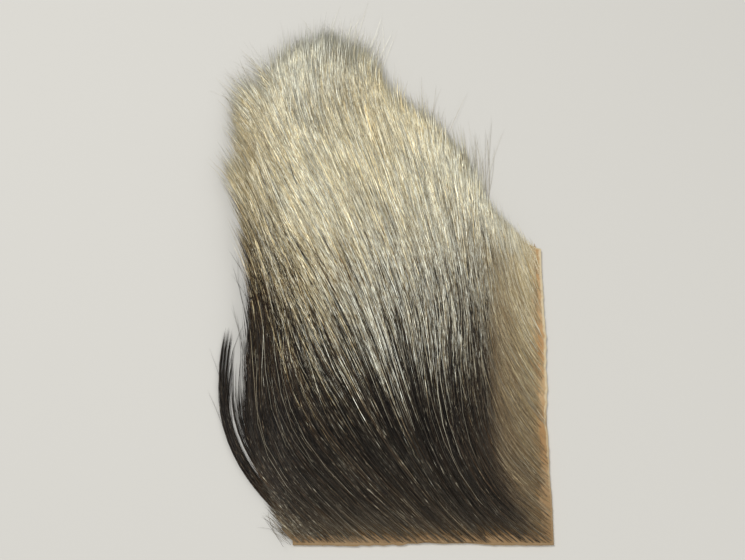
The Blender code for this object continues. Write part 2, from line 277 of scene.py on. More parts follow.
def grain_side():
    """The leather's hair side: orange-tan, mottled, pricked by hair roots, browner where they are dark, which
    is partly painted shade of the hair over it, and paler in a narrow ragged rim."""
    material, tree, shader = nodes_of("tanned_skin_grain_side")
    place = node(tree, "ShaderNodeTexCoord").outputs["Object"]
    inward = attribute(tree, "inward")
    dark_roots_and_shade = attribute(tree, "dark_roots_and_shade")
    mottle = noise(tree, place, scale=90.0, detail=4.0)
    body = colour_ramp(tree, mottle, ((0.3, (150, 114, 70)), (0.5, BARE_SKIN), (0.72, (172, 147, 110))))
    body = darkened_by_roots_and_shade(tree, body)
    ragged = number(tree, "MULTIPLY", noise(tree, place, scale=700.0, detail=3.0), 0.8)
    inside = number(tree, "MULTIPLY", number(tree, "SUBTRACT", inward, ragged), 2.5, clamp=True)
    rim = number(tree, "SUBTRACT", 1.0, inside, clamp=True)
    rim = number(tree, "SUBTRACT", rim, number(tree, "MULTIPLY", dark_roots_and_shade, 0.9), clamp=True)
    body = mixed(tree, number(tree, "MULTIPLY", rim, 0.8), body, linear(*PALER_RIM))
    pores = node(tree, "ShaderNodeTexVoronoi", [("Vector", place), ("Scale", PORES_PER_METRE)])
    pores = pores.outputs["Distance"]
    pricked = number(tree, "LESS_THAN", pores, 0.2)
    body = mixed(tree, number(tree, "MULTIPLY", pricked, 0.35), body, linear(*PORE))
    tree.links.new(body, shader.inputs["Base Color"])
    shader.inputs["Roughness"].default_value = 0.6
    shader.inputs["Specular IOR Level"].default_value = 0.3
    fine = noise(tree, place, scale=1100.0, detail=4.0)
    relief = number(tree, "ADD", fine, number(tree, "MULTIPLY", mottle, 0.8))
    bump(tree, shader, relief, depth=0.12)
    return material


def flesh_side():
    """The leather's inside, at the cut and underneath: pale, dry and fibrous."""
    material, tree, shader = nodes_of("tanned_skin_flesh_side")
    place = node(tree, "ShaderNodeTexCoord").outputs["Object"]
    fibres = noise(tree, place, scale=700.0, detail=5.0, roughness=0.65)
    body = colour_ramp(tree, fibres, (
        (0.3, (170, 138, 98)),
        (0.55, (206, 184, 146)),
        (0.75, (226, 212, 182)),
    ))
    tree.links.new(body, shader.inputs["Base Color"])
    shader.inputs["Roughness"].default_value = 0.9
    shader.inputs["Specular IOR Level"].default_value = 0.15
    bump(tree, shader, fibres, depth=0.2)
    return material


DARK_ROOTS_END = 46.0


def dark_rooted(x, y):
    """1 at the near edge, falling by a soft step to 0 along a wavy line where the dark hair's roots end."""
    return 1.0 - smooth_step((y + 4.0 * np.sin(0.21 * x)) / DARK_ROOTS_END)


SKIN_ACROSS = 91
SKIN_ALONG = 121
EDGE_CROWDING = 0.75  # how much closer the points stand at the cut edges, to show their nicks


def crowded(count):
    """Shares from 0 to 1 that stand closer at both ends: an even row less a part of one sine wave."""
    even = np.linspace(0.0, 1.0, count)
    return even - EDGE_CROWDING * np.sin(2 * np.pi * even) / (2 * np.pi)


skin_u = crowded(SKIN_ACROSS)
skin_v = crowded(SKIN_ALONG)
plan = skin_plan(skin_u, skin_v)
plan_x = plan[..., 0]
plan_y = plan[..., 1]
curl = 0.5 + 0.5 * np.sin(0.13 * plan_y + 0.8) * np.sin(0.05 * plan_y)
at_right_rim = smooth_step(1.0 + past_side(plan_x, plan_y, 1) / CURL_WIDTH)
curl = RIM_LIFT * curl * smooth_step(plan_y / 20.0) * at_right_rim
inward = np.minimum(
    NEAR_EDGE * np.minimum(skin_u, 1.0 - skin_u)[:, None],
    RIGHT_EDGE * np.minimum(skin_v, 1.0 - skin_v)[None, :],
)
rounding = CUT_ROUNDING * (1.0 - smooth_step(inward / ROUNDED_WIDTH))
ripple = GRAIN_RIPPLE * np.sin(0.9 * plan_x + 0.4 * plan_y) * np.sin(0.7 * plan_y - 0.3 * plan_x)
top = np.dstack([plan, SKIN_THICKNESS + curl - rounding + ripple * smooth_step(inward / 3.0)])
bottom = np.dstack([plan, curl])
skin = closed_sheet("skin", top, bottom)
keep_on_sheet(skin, {"inward": inward, "dark_roots_and_shade": dark_rooted(plan_x, plan_y)})
skin.data.materials.append(grain_side())
skin.data.materials.append(flesh_side())
top_faces = (SKIN_ACROSS - 1) * (SKIN_ALONG - 1)
slots = np.ones(len(skin.data.polygons), np.int32)
slots[:top_faces] = 0
skin.data.polygons.foreach_set("material_index", slots)
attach(skin, "root")
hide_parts("hide")

# The undercoat: the short fine wool and the lower part of the long hair, which pack into one soft bed. It
# grows out of the skin from the near and right edges on, lies up and to the left, and hides the skin but
# for a band at those edges.
BARE_RIM = 0.5
CLEARANCE = 0.1
EDGE_DROP = 5.0
RIM_HEIGHT = 0.9
TAPER = 13.0
LAST_PLACE = 131.0

# Which way the hair leans, in degrees to the left of straight away, by place
LEAN_X = (-46.0, -40.0, -33.0, -22.0, -8.0, 4.0, 14.0, 21.0, 28.0)
LEAN_BY_Y = (
    # y, lean at each x
    (0.0, (46.0, 47.0, 48.0, 52.0, 56.0, 56.0, 54.0, 54.0, 56.0)),
    (15.0, (35.0, 37.0, 40.0, 44.0, 42.0, 30.0, 28.0, 42.0, 47.0)),
    (30.0, (2.0, 6.0, 20.0, 32.0, 24.0, 10.0, 12.0, 30.0, 38.0)),
    (45.0, (-2.0, 2.0, 13.0, 27.0, 17.0, 0.0, 0.0, 30.0, 32.0)),
    (60.0, (12.0, 14.0, 27.0, 29.0, 17.0, 10.0, 8.0, 16.0, 22.0)),
    (75.0, (22.0, 22.0, 29.0, 25.0, 20.0, 13.0, 2.0, 10.0, 14.0)),
    (95.0, (24.0, 23.0, 28.0, 23.0, 15.0, 9.0, 4.0, 6.0, 6.0)),
    (115.0, (28.0, 24.0, 16.0, 15.0, 16.0, 12.0, 6.0, 0.0, 0.0)),
    (130.0, (24.0, 16.0, 4.0, 2.0, 0.0, -4.0, -8.0, -10.0, -10.0)),
    (150.0, (16.0, 6.0, 0.0, -3.0, -6.0, -8.0, -10.0, -10.0, -10.0)),
)

# How high the pile stands above what it lies on, by place
PILE_X = (-40.0, -22.0, 2.0, 16.0, 28.0)
PILE_BY_Y = (
    # y, height at each x
    (0.0, (0.6, 0.6, 0.6, 0.6, 0.5)),
    (16.0, (2.6, 3.6, 3.4, 2.2, 0.9)),
    (40.0, (5.2, 7.8, 8.0, 5.6, 1.1)),
    (68.0, (6.0, 8.8, 8.8, 7.6, 1.6)),
    (95.0, (6.0, 8.6, 8.0, 6.0, 2.2)),
    (120.0, (5.0, 7.2, 6.4, 4.0, 2.0)),
    (150.0, (3.0, 3.6, 3.6, 2.4, 1.5)),
)

# The outline of the coat past the skin, as seen from above, anticlockwise from its near right corner
COAT_OUTLINE = (
    (36.0, -6.0),
    (38.0, 74.0),
    (31.0, 75.0),
    (25.0, 81.0),
    (19.5, 87.0),
    (15.0, 97.0),
    (8.0, 109.0),
    (0.0, 116.0),
    (-8.0, 128.0),
    (-14.0, 142.0),
    (-22.0, 148.0),
    (-31.0, 146.5),
    (-39.0, 140.5),
    (-47.5, 131.5),
    (-50.5, 124.0),
    (-51.0, 112.0),
    (-49.5, 97.0),
    (-46.0, 78.0),
    (-43.5, 66.0),
    (-42.5, 56.0),
    (-42.5, 35.0),
    (-40.7, 25.0),
    (-39.2, 19.0),
    (-36.0, 11.0),
    (-32.0, -1.0),
    (-31.0, -6.0),
)


def by_place(columns, rows, x, y):
    """Read a table of values by place, blended between its rows and columns."""
    values = np.array([row[1] for row in rows])
    along = np.interp(y, [row[0] for row in rows], np.arange(len(rows)))
    across = np.interp(x, columns, np.arange(len(columns)))
    row = np.minimum(along.astype(int), len(rows) - 2)
    column = np.minimum(across.astype(int), len(columns) - 2)
    up = along - row
    right = across - column
    near = values[row, column] * (1.0 - right) + values[row, column + 1] * right
    far = values[row + 1, column] * (1.0 - right) + values[row + 1, column + 1] * right
    return near * (1.0 - up) + far * up


def root_line(place):
    """The line where the hair begins, along the near edge and then up the right edge."""
    turn = NEAR_EDGE - 2.0 * BARE_RIM
    up = np.maximum(place - turn, 0.0)
    x = -NEAR_EDGE / 2 + BARE_RIM + np.minimum(place, turn) + up * RIGHT_SPLAY / RIGHT_EDGE
    return x, BARE_RIM + up


LINE_STEP = 0.5
WALK_STEP = 1.5
line_places = np.arange(0.0, LAST_PLACE + LINE_STEP, LINE_STEP)
LONGEST_WALK = 177.0
walks = np.arange(0.0, LONGEST_WALK, WALK_STEP)


def comb_lines():
    """Lines that follow the lean from the root line, a small step at a time, each step taken at the lean half
    way along it. Rows are places on the root line and columns are distances walked."""
    x, y = root_line(line_places)
    line = [(x, y)]
    for _ in walks[1:]:
        lean = np.radians(by_place(LEAN_X, LEAN_BY_Y, x, y))
        half_x = x - 0.5 * WALK_STEP * np.sin(lean)
        half_y = y + 0.5 * WALK_STEP * np.cos(lean)
        lean = np.radians(by_place(LEAN_X, LEAN_BY_Y, half_x, half_y))
        x = x - WALK_STEP * np.sin(lean)
        y = y + WALK_STEP * np.cos(lean)
        line.append((x, y))
    return np.array(line).transpose(2, 0, 1)


combed = comb_lines()


def inside_outline(x, y):
    """Whether plan points lie inside the coat's outline: a line drawn from each to the right meets an odd
    number of its sides."""
    corners = np.array(COAT_OUTLINE)
    inside = np.zeros(x.shape, bool)
    for start, end in zip(corners, np.roll(corners, -1, axis=0)):
        spans = (start[1] > y) != (end[1] > y)
        rise = end[1] - start[1] if end[1] != start[1] else 1.0
        crossing = start[0] + (y - start[1]) * (end[0] - start[0]) / rise
        inside ^= spans & (x < crossing)
    return inside


def first_outside(outside):
    """The distance walked at which each combed line first meets a point marked as outside."""
    marked = outside.copy()
    marked[:, 0] = False
    marked[:, -1] = True
    return walks[np.argmax(marked, axis=1)]


line_reach = first_outside(~inside_outline(combed[..., 0], combed[..., 1]))
REACH_SPAN = 9  # how many neighbouring lines each reach is averaged over, which smooths the coat's rim
padded_reach = np.pad(line_reach, REACH_SPAN // 2, mode="edge")
line_reach = np.convolve(padded_reach, np.full(REACH_SPAN, 1.0 / REACH_SPAN), mode="valid")


def reach_at(place):
    """How far the coat reaches along the hair from a place on the root line."""
    return np.interp(place, line_places, line_reach)


def on_line(place, walked):
    """The plan position at a place on the root line and a distance walked from it, read between the combed
    lines."""
    row = np.clip(place / LINE_STEP, 0.0, len(line_places) - 1.001)
    column = np.clip(walked / WALK_STEP, 0.0, len(walks) - 1.001)
    low = row.astype(int)
    near = column.astype(int)
    up = (row - low)[..., None]
    on = (column - near)[..., None]
    first = combed[low, near] * (1.0 - on) + combed[low, near + 1] * on
    second = combed[low + 1, near] * (1.0 - on) + combed[low + 1, near + 1] * on
    point = first * (1.0 - up) + second * up
    return point[..., 0], point[..., 1]


def floor_under(x, y):
    """Height of what the hair lies on: the skin, and past its edges the table."""
    return (SKIN_THICKNESS + CLEARANCE) * (1.0 - smooth_step((outside_skin(x, y) - 1.0) / EDGE_DROP))


def pile_at(x, y, to_tip):
    """Height of the pile: read from its rows by place, and brought down by a soft step to a thin rim where
    the tips end."""
    pile = by_place(PILE_X, PILE_BY_Y, x, y)
    return RIM_HEIGHT + (pile - RIM_HEIGHT) * smooth_step(to_tip / TAPER)


def soft_random(rng, shape, cells):
    """Random values from -1 to 1 that change softly over a grid, as straight blends between the values of a
    coarse one."""
    coarse = rng.uniform(-1.0, 1.0, cells)
    across = np.linspace(0.0, cells[0] - 1.0, shape[0])
    along = np.linspace(0.0, cells[1] - 1.0, shape[1])
    tall = np.array([np.interp(across, np.arange(cells[0]), line) for line in coarse.T]).T
    return np.array([np.interp(along, np.arange(cells[1]), line) for line in tall])


# Where the dark hair of the near part gives way to pale hair, and where the thin hair of the right strip
# begins
DARK_END_BY_X = (
    # x, y where dark and pale are even
    (-48.0, 72.0),
    (-42.0, 70.0),
    (-37.0, 65.0),
    (-31.0, 55.0),
    (-22.0, 47.5),
    (-6.0, 49.5),
    (6.0, 49.0),
    (18.0, 50.5),
)
STRIP_BY_Y = (
    # y, x where the thin strip begins
    (0.0, 27.0),
    (10.0, 20.5),
    (20.0, 16.5),
    (40.0, 16.5),
    (55.0, 18.0),
    (70.0, 20.0),
    (90.0, 22.0),
)


STRIP_BLEND = 6.0


def from_rows(rows, place):
    """A value by place, read from rows of place and value and straight between them."""
    return np.interp(place, [row[0] for row in rows], [row[1] for row in rows])


def in_strip(x, y):
    """0 in the deep coat, 1 in the thin hair of the right strip, and a soft step where the strip begins."""
    start = from_rows(STRIP_BY_Y, y)
    return smooth_step((x - start) / STRIP_BLEND + 0.5)


def paleness(x, y, late, band, share):
    """From 0 for near black to 1 for cream. In the deep coat it is a soft step at the end of the dark part,
    moved by late and as long as band. It is raised along the near edge and at the near left corner, where
    the hair is thin, partly as painted sheen on the thin dark hair. It is lowered below the cream part and
    at the far end, and lowered at the left and right as painted shade where the coat slopes away. In the
    thin strip, for which share is 1, it rises slowly away from the near edge and to the right."""
    end = from_rows(DARK_END_BY_X, x)
    spread = 0.75 + 0.25 * smooth_step((x + 44.0) / 14.0)
    deep = 0.01 + 0.97 * smooth_step((y - end - late * spread) / band + 0.5)
    # Raised along the near edge, where the hair is thin: partly painted sheen on the thin dark hair
    deep = deep + 0.2 * (1.0 - smooth_step(y / 12.0))
    deep = deep * (0.88 + 0.12 * smooth_step((y - 66.0) / 20.0)) + 0.13 * (1.0 - smooth_step(y / 28.0))
    strip = 0.28 + 0.42 * np.clip(y / 75.0, 0.0, 1.2) ** 0.7 + 0.018 * (x - 24.0)
    # Painted shade: lower at the left and right, where the coat slopes away
    left_shade = smooth_step((-34.0 - x) / 14.0)
    right_shade = smooth_step((x - 2.0) / 12.0)
    # Raised at the near left corner, where the hair is thin: partly painted sheen on the thin dark hair
    at_corner = (1.0 - smooth_step((x + 31.0 + 0.55 * y) / 5.0)) * (1.0 - smooth_step((y - 10.0) / 12.0))
    deep = deep + 0.2 * at_corner
    left_shade = left_shade * (1.0 - 0.5 * smooth_step((y - 104.0) / 16.0))
    deep = deep * (1.0 - 0.35 * left_shade - 0.13 * right_shade - 0.16 * smooth_step((y - 98.0) / 28.0))
    return np.clip(deep * (1.0 - share) + strip * share, 0.0, 1.0)


# How golden the hair is, by place
GOLD_X = (-50.0, -30.0, -10.0, 10.0)
GOLD_BY_Y = (
    # y, share at each x
    (10.0, (0.1, 0.1, 0.1, 0.1)),
    (40.0, (0.8, 0.5, 0.1, 0.1)),
    (62.0, (1.0, 0.8, 0.15, 0.1)),
    (85.0, (0.75, 0.45, 0.5, 0.25)),
    (105.0, (0.75, 0.45, 0.65, 0.35)),
    (125.0, (0.4, 0.2, 0.7, 0.6)),
    (150.0, (0.0, 0.0, 0.1, 0.2)),
)


def hair_colours(tree, pale, gold):
    """Hair colours over paleness, one ramp for white hair and one for golden."""
    white = colour_ramp(tree, pale, (
        (0.0, (9, 7, 5)),
        (0.25, (60, 55, 47)),
        (0.5, (125, 118, 101)),
        (0.7, (180, 175, 156)),
        (1.0, (246, 246, 230)),
    ))
    golden = colour_ramp(tree, pale, (
        (0.0, (18, 12, 8)),
        (0.25, (76, 58, 39)),
        (0.5, (136, 113, 78)),
        (0.7, (188, 167, 118)),
        (1.0, (240, 225, 180)),
    ))
    return mixed(tree, gold, white, golden)


STREAK_STRETCH = 0.035  # how much slower the streaks change along the hair than across it


def wool():
    """The undercoat's finish: hair colours in fine streaks along the hair, over the skin's colour at its
    edges. Its paleness is held low in the deep coat as painted shade between the hairs, and the skin's
    colour is browner where dark hair is rooted, partly as painted shade."""
    material, tree, shader = nodes_of("kid_hair_undercoat")
    combing = node(tree, "ShaderNodeUVMap", uv_map="combing").outputs["UV"]
    stretch = [("Vector", combing), ("Scale", (1.0, STREAK_STRETCH, 1.0))]
    stretched = node(tree, "ShaderNodeMapping", stretch).outputs[0]
    streaks = noise(tree, stretched, scale=2.2, detail=5.0, roughness=0.62)
    broad = noise(tree, stretched, scale=0.5)
    pale = attribute(tree, "pale")
    cover = attribute(tree, "cover")
    swing = number(tree, "SUBTRACT", number(tree, "ADD", streaks, number(tree, "MULTIPLY", broad, 0.6)), 0.8)
    mixed_pale = number(tree, "ADD", pale, number(tree, "MULTIPLY", swing, 0.45), clamp=True)
    hair = hair_colours(tree, mixed_pale, attribute(tree, "gold"))
    between = number(tree, "MULTIPLY", cover, number(tree, "SUBTRACT", 1.0, cover))
    ragged = number(tree, "MULTIPLY", number(tree, "MULTIPLY", swing, between), 3.5)
    covered = number(tree, "ADD", cover, ragged, clamp=True)
    body = mixed(tree, covered, darkened_by_roots_and_shade(tree, linear(*BARE_SKIN)), hair)
    tree.links.new(body, shader.inputs["Base Color"])
    shader.inputs["Roughness"].default_value = 0.7
    shader.inputs["Specular IOR Level"].default_value = 0.12
    bump(tree, shader, streaks, depth=0.35)
    return material


WOOL_LINES = 161
WOOL_STEPS = 71
WOOL_SHARE = 0.74
WOOL_SHORT = 7.5
RIDGE_SHARE = 0.09
wool_rng = np.random.default_rng(5)


def wool_reach(place):
    """How far the undercoat reaches: the coat's reach less a set length, or less 0.4 of the reach where that
    is shorter, and less only a quarter as much along the far part of the right edge. It is at least 4 mm."""
    reach = reach_at(place)
    short = np.minimum(WOOL_SHORT, 0.4 * reach) * (1.0 - 0.75 * smooth_step((place - 100.0) / 12.0))
    return np.maximum(reach - short, 4.0)


def wool_depth(place, walked, x, y):
    """The undercoat's depth: a share of the pile's height, less of it near the roots, that comes down to
    nothing at the roots, at the tips and at both end lines."""
    to_tip = wool_reach(place) - walked
    depth = WOOL_SHARE * (0.6 + 0.4 * smooth_step(walked / 16.0)) * pile_at(x, y, to_tip)
    rise = smooth_step((walked - 0.8) / 5.5) * smooth_step((place + 0.15 * walked) / 6.0)
    return depth * rise * smooth_step(to_tip / 6.0) * smooth_step((LAST_PLACE - place) / 4.0)


wool_place = LAST_PLACE * np.linspace(0.0, 1.0, WOOL_LINES)[:, None] ** 1.25
wool_walked = wool_reach(wool_place) * np.linspace(0.0, 1.0, WOOL_STEPS)[None, :]
wool_places = np.broadcast_to(wool_place, wool_walked.shape)
wool_x, wool_y = on_line(wool_places, wool_walked)
ridges = soft_random(wool_rng, wool_x.shape, (WOOL_LINES // 3, 7))
ridges = ridges + soft_random(wool_rng, wool_x.shape, (40, 6))
depth = wool_depth(wool_places, wool_walked, wool_x, wool_y) * (1.0 + RIDGE_SHARE * ridges)
sunk = 0.3 * (1.0 - smooth_step((wool_walked - 2.0 - 0.8 * ridges) / 3.0))
sunk = sunk + 0.25 * (1.0 - smooth_step((LAST_PLACE - wool_places) / 4.0))
wool_floor = np.maximum(floor_under(wool_x, wool_y) - 0.05 - sunk, 0.02)
wool_top = np.dstack([wool_x, wool_y, wool_floor + 0.06 + depth])
wool_bottom = np.dstack([wool_x, wool_y, wool_floor - 0.02])
undercoat = closed_sheet("undercoat", wool_top, wool_bottom)
combing = undercoat.data.uv_layers.new(name="combing")
wool_uv = np.stack([wool_places, wool_walked], axis=-1).reshape(-1, 2)
wool_uv = np.concatenate([wool_uv, wool_uv])
corner_points = np.zeros(len(undercoat.data.loops), np.int32)
undercoat.data.loops.foreach_get("vertex_index", corner_points)
combing.data.foreach_set("uv", wool_uv[corner_points].astype(np.float32).ravel())
# Painted shade: the undercoat's paleness is held lower in the deep coat, for the shade between the hairs
# above it, and kept full in the strip and near the tips
full_pale = paleness(wool_x, wool_y, 4.0, 30.0, in_strip(wool_x, wool_y))
near_tips = 1.0 - smooth_step((wool_reach(wool_places) - wool_walked) / 16.0)
shaded_wool_pale = full_pale * (0.68 + 0.32 * np.maximum(in_strip(wool_x, wool_y), near_tips))
cover_near = smooth_step((-past_side(wool_x, wool_y, 0) - 1.0) / 4.6)
cover_right = smooth_step((-past_side(wool_x, wool_y, 1) - 0.4) / 6.5)
cover = cover_near * cover_right
# The undercoat's golden share, which in the deep coat also browns the painted shade between the hairs
wool_gold = 0.15 + 0.55 * np.maximum(smooth_step(wool_y / 40.0), in_strip(wool_x, wool_y))
keep_on_sheet(undercoat, {
    "pale": shaded_wool_pale,
    "cover": cover,
    "gold": wool_gold,
    "dark_roots_and_shade": dark_rooted(wool_x, wool_y),
})
undercoat.data.materials.append(wool())
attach(undercoat, "root")
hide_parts("coat")

# The long hair: straight silky guard hair, 45 to 50 mm long, rooted all over the skin. Each hair lies on
# those that grow in front of it, so the tips are uppermost, and gathers a little with its neighbours into
# fine locks.
HAIR_LENGTH = 47.0
BURIED = 1.2
OWN_TURN = 1.4
# The flecks along each hair are painted shade and painted light, for where it dips under its neighbours and
# out again; the darker flecks are painted shade made more golden.
SHADE_FLECKS_PER_MM = 0.45
SHADE_FLECK_SWING = 2.4
SHADE_FLECK_GOLD = 1.9
# Painted glints: painted highlights that lighten dark hair where its flecks are light
PAINTED_GLINT_FROM = 0.05
PAINTED_GLINT = 1.7
hair_rng = np.random.default_rng(21)


def strands(name, line, radius, material, values):
    """Many hairs as one mesh. Each is a three-sided tube round its line that narrows to a point: a ring at
    each point of the line but the last, its corners set out by the radius along the sideways and upward
    normals and turned about the line by the hair's own amount.

    line has a row for each hair, a column for each point and then x, y and z. values are numbers by name,
    each with a row for each hair and a column for each point."""
    hairs, points = line.shape[:2]
    rings = points - 1
    steps = np.linalg.norm(np.diff(line, axis=1), axis=-1)
    walked = np.concatenate([np.zeros((hairs, 1)), np.cumsum(steps, axis=1)], axis=1)
    own = np.repeat((np.arange(hairs) * 0.618034 % 1.0)[:, None], points, axis=1)
    along = np.gradient(line, axis=1)
    along /= np.linalg.norm(along, axis=-1, keepdims=True)
    side = np.stack([along[..., 1], -along[..., 0], np.zeros((hairs, points))], axis=-1)
    side /= np.linalg.norm(side, axis=-1, keepdims=True)
    above = np.cross(side, along)
    turn = np.arange(3) * 2 * np.pi / 3 - np.pi / 2
    turn = (turn[None, :] + OWN_TURN * (own[:, :1] - 0.5))[:, None, :, None]
    spread = side[:, :rings, None] * np.cos(turn) + above[:, :rings, None] * np.sin(turn)
    tube = line[:, :rings, None] + radius[:, :rings, None, None] * spread
    corners = np.concatenate([tube.reshape(hairs, rings * 3, 3), line[:, -1:]], axis=1)
    each = rings * 3 + 1
    ring = np.arange(rings - 1)[:, None] * 3
    corner = np.arange(3)[None, :]
    after = (corner + 1) % 3
    quads = np.stack([ring + corner, ring + after, ring + 3 + after, ring + 3 + corner], axis=-1)
    quads = quads.reshape(-1, 4)
    last = (rings - 1) * 3
    tips = np.stack([last + corner[0], last + after[0], np.full(3, each - 1)], axis=-1)
    triangles = np.concatenate([tips, [[0, 2, 1]]])
    first = np.arange(hairs)[:, None, None] * each
    made = new_piece(
        name,
        corners.reshape(-1, 3),
        (quads[None] + first).reshape(-1, 4),
        (triangles[None] + first).reshape(-1, 3),
    )
    for key, value in {**values, "walked": walked, "own": own}.items():
        rings_value = np.repeat(value[:, :rings], 3, axis=1)
        keep_values(made, key, np.concatenate([rings_value, value[:, -1:]], axis=1))
    made.data.materials.append(material)
    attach(made, "root")


def hair_finish():
    """The long hair's finish: silky, coloured along each hair by its paleness, with a light or dark of its
    own. Along its length it carries painted shade and painted light, as it dips under its neighbours
    and out again. The painted shade is more golden, and where the flecks are light they also paint
    highlights on dark hair."""
    material, tree, shader = nodes_of("kid_hair_long")
    apart = number(tree, "MULTIPLY", attribute(tree, "own"), 900.0)
    along = number(tree, "MULTIPLY", attribute(tree, "walked"), SHADE_FLECKS_PER_MM)
    on_hair = node(tree, "ShaderNodeCombineXYZ", [("X", apart), ("Y", along)]).outputs[0]
    # Painted shade and painted light along each hair, from soft noise over its own number and the distance
    # along it
    shade_fleck = number(tree, "SUBTRACT", noise(tree, on_hair, scale=1.0, roughness=0.6), 0.5)
    shade_fleck = number(tree, "MULTIPLY", shade_fleck, attribute(tree, "shade_flecked"))
    swing = number(tree, "ADD", 1.0, number(tree, "MULTIPLY", shade_fleck, SHADE_FLECK_SWING))
    own_pale = attribute(tree, "pale")
    # Painted highlights on dark hair where the flecks are light: painted glints
    painted_glint = number(tree, "MAXIMUM", number(tree, "SUBTRACT", shade_fleck, PAINTED_GLINT_FROM), 0.0)
    darkness = number(tree, "SUBTRACT", 1.0, own_pale)
    painted_glint = number(tree, "MULTIPLY", number(tree, "MULTIPLY", painted_glint, PAINTED_GLINT), darkness)
    pale = number(tree, "ADD", number(tree, "MULTIPLY", own_pale, swing), painted_glint, clamp=True)
    less_gold = number(tree, "MULTIPLY", shade_fleck, SHADE_FLECK_GOLD)
    gold = number(tree, "SUBTRACT", attribute(tree, "gold"), less_gold, clamp=True)
    body = hair_colours(tree, pale, gold)
    toned = node(tree, "ShaderNodeHueSaturation", [("Value", attribute(tree, "tone")), ("Color", body)])
    toned = toned.outputs["Color"]
    tree.links.new(toned, shader.inputs["Base Color"])
    shader.inputs["Roughness"].default_value = 0.45
    shader.inputs["Specular IOR Level"].default_value = 0.22
    return material


skin_walk = first_outside(outside_skin(combed[..., 0], combed[..., 1]) > -0.8)


def roots_by_area(rng, count, thickness):
    """Roots spread over the skin by area and by how thickly the hair grows, which is given for every point of
    the combed lines: cells about those points are drawn by lot, and each root lies anywhere in its cell."""
    across = np.gradient(combed, LINE_STEP, axis=0)
    along = np.gradient(combed, WALK_STEP, axis=1)
    area = np.abs(across[..., 0] * along[..., 1] - across[..., 1] * along[..., 0])
    weight = (area * thickness * (walks[None, :] < skin_walk[:, None])).ravel()
    cell = rng.choice(weight.size, size=count, p=weight / weight.sum())
    row, column = np.unravel_index(cell, area.shape)
    place = (row + rng.uniform(-0.5, 0.5, count)) * LINE_STEP
    root = (column + rng.uniform(-0.5, 0.5, count)) * WALK_STEP
    return np.clip(place, 0.0, LAST_PLACE), np.maximum(root, 0.0)


LOCK_WIDTH = 0.9
LOCK_LENGTH = 5.5
TUFT_WIDTH = 3.2
TUFT_LENGTH = 16.0
LOCK_NUMBERS = 4096
ROW_OFFSET = 0.618


def lock_of(place, walked, width, length):
    """The lock that each root belongs to: a number, and the place at its middle. Locks of one width and
    length stand in rows, each row set off from the next. Two large primes scatter the numbers."""
    row = np.floor(walked / length)
    lock = np.floor(place / width + ROW_OFFSET * row)
    middle = (lock + 0.5 - ROW_OFFSET * row) * width
    return ((lock * 7919 + row * 104729) % LOCK_NUMBERS).astype(int), middle


def beside(x, y, aside):
    """Plan lines moved to their right by the amounts given."""
    heading_x = np.gradient(x, axis=1)
    heading_y = np.gradient(y, axis=1)
    step = np.hypot(heading_x, heading_y)
    return x + aside * heading_y / step, y - aside * heading_x / step


LONG_TIP_SHARE = 0.16
SHORTEST_HAIR = 8.0
FULL_SWAY_LENGTH = 35.0
GUARD_SHARE = 0.004
LATE_KIND_FROM = 0.95
STRIP_DARK_FROM = 0.88


